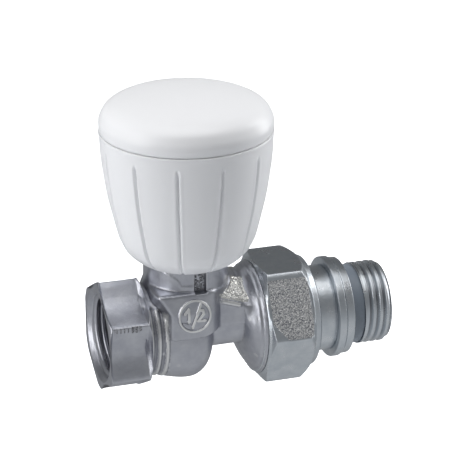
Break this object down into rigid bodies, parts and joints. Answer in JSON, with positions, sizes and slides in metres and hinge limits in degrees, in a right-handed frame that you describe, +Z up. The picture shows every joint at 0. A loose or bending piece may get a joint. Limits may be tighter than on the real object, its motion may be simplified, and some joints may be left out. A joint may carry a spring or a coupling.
{
  "type": "straight radiator valve",
  "caption": "Straight radiator valve with a fluted white handwheel, hexagonal threaded inlet and a union nut with a threaded tailpiece.",
  "frame": {"origin": "centre of the inlet mouth, on the pipe line", "axes": "+X along the pipe line from inlet to outlet, +Z up the stem to the handwheel, -Y towards the front with the size mark"},
  "size_m": [0.0745, 0.043, 0.0763],
  "materials": {
    "nickel_plated_brass": "nickel plated, satin",
    "white_plastic": "white moulded ABS, satin gloss",
    "bare_brass": "machined",
    "stainless_steel": "turned",
    "black_rubber": "EPDM",
    "dark_sealing_rubber": "satin"
  },
  "bodies": {
    "body": {"valve_body": "nickel_plated_brass", "bonnet": "bare_brass", "bonnet_o_ring": "black_rubber", "gland_nut": "bare_brass", "gland_washer": "stainless_steel", "stem_o_rings": "black_rubber", "travel_stop": "stainless_steel"},
    "stem": {"stem_pin": "stainless_steel", "disc_holder": "bare_brass", "seat_washer": "black_rubber", "washer_screw": "stainless_steel", "spring_cup": "stainless_steel", "stem_clip": "stainless_steel", "return_spring": "stainless_steel"},
    "handwheel": {"handwheel_skirt": "white_plastic", "handwheel_cap": "white_plastic", "drive_bush": "bare_brass", "thrust_pad": "stainless_steel", "bush_screws": "stainless_steel"},
    "tail": {"tailpiece": "nickel_plated_brass", "tail_o_ring": "black_rubber", "nut_retaining_ring": "stainless_steel", "thread_seal_ring": "dark_sealing_rubber"},
    "nut": {"union_nut": "nickel_plated_brass"}
  },
  "joints": [
    {"name": "stem_lift", "type": "slide", "parent": "body", "child": "stem", "axis": [0, 0, -1], "range_m": [0, 0.0025], "deforming": ["return_spring"]},
    {"name": "handwheel_turn", "type": "hinge", "parent": "stem", "child": "handwheel", "pos_m": [0.0233, 0, 0], "axis": [0, 0, -1], "range_deg": [0, 450]},
    {"name": "union_slide", "type": "slide", "parent": "body", "child": "tail", "axis": [1, 0, 0], "range_m": [0, 0.00544]},
    {"name": "union_nut_turn", "type": "hinge", "parent": "tail", "child": "nut", "pos_m": [0.0472, 0, 0], "axis": [1, 0, 0], "range_deg": [0, 1080]}
  ],
  "couplings": [
    {"joint": "handwheel_turn", "follows": "stem_lift", "rad_per_m": 3141.6},
    {"joint": "union_nut_turn", "follows": "union_slide", "rad_per_m": 3463.7}
  ]
}
